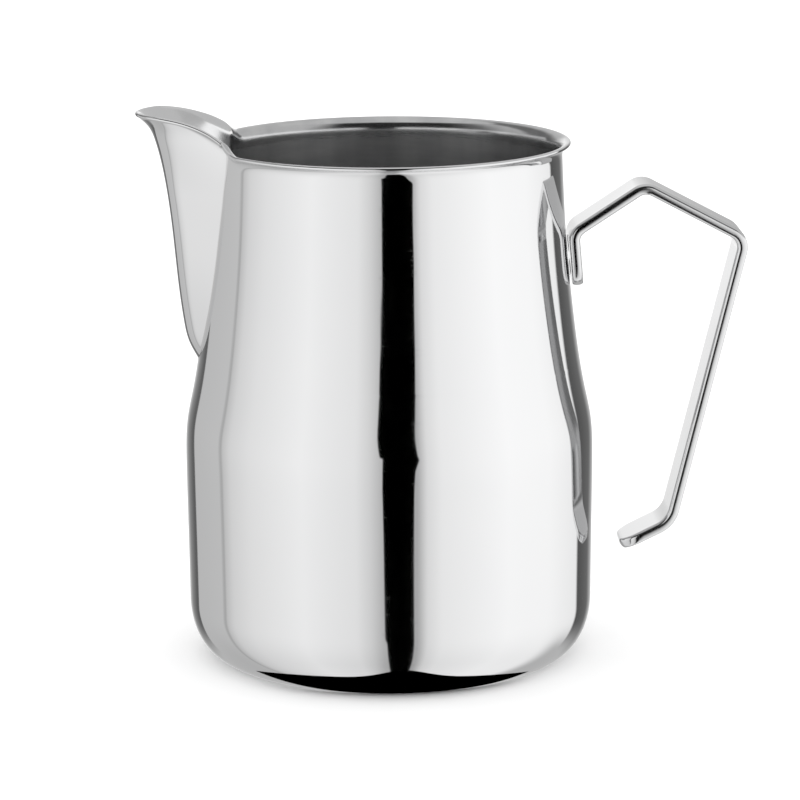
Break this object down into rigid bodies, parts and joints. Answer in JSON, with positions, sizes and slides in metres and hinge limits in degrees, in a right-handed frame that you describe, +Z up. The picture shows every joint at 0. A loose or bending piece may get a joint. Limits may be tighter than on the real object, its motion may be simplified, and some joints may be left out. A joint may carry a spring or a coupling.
{
  "type": "milk frothing pitcher",
  "caption": "Polished stainless steel milk frothing pitcher: bellied cup with a flared rim, a tall welded pouring spout and an open handle bent from flat strip.",
  "frame": {"origin": "centre of the flat base, on the axis of the body", "axes": "+Z up along the axis of the body, +X towards the handle, -X towards the spout, +Y away from a viewer who sees the spout on the left and the handle on the right"},
  "size_m": [0.1261, 0.085, 0.1147],
  "materials": {
    "body_polished_steel": "mirror polished outside, satin inside",
    "spout_polished_steel": "mirror polished",
    "ground_weld_steel": "weld ground flush and polished",
    "handle_polished_steel": "polished strip with rounded edges",
    "spot_weld_steel": "fused weld metal"
  },
  "bodies": {
    "root": {"body_shell": "body_polished_steel", "spout": "spout_polished_steel", "spout_weld_bead": "ground_weld_steel", "handle_strip": "handle_polished_steel", "handle_spot_weld_upper": "spot_weld_steel", "handle_spot_weld_lower": "spot_weld_steel"}
  },
  "joints": []
}
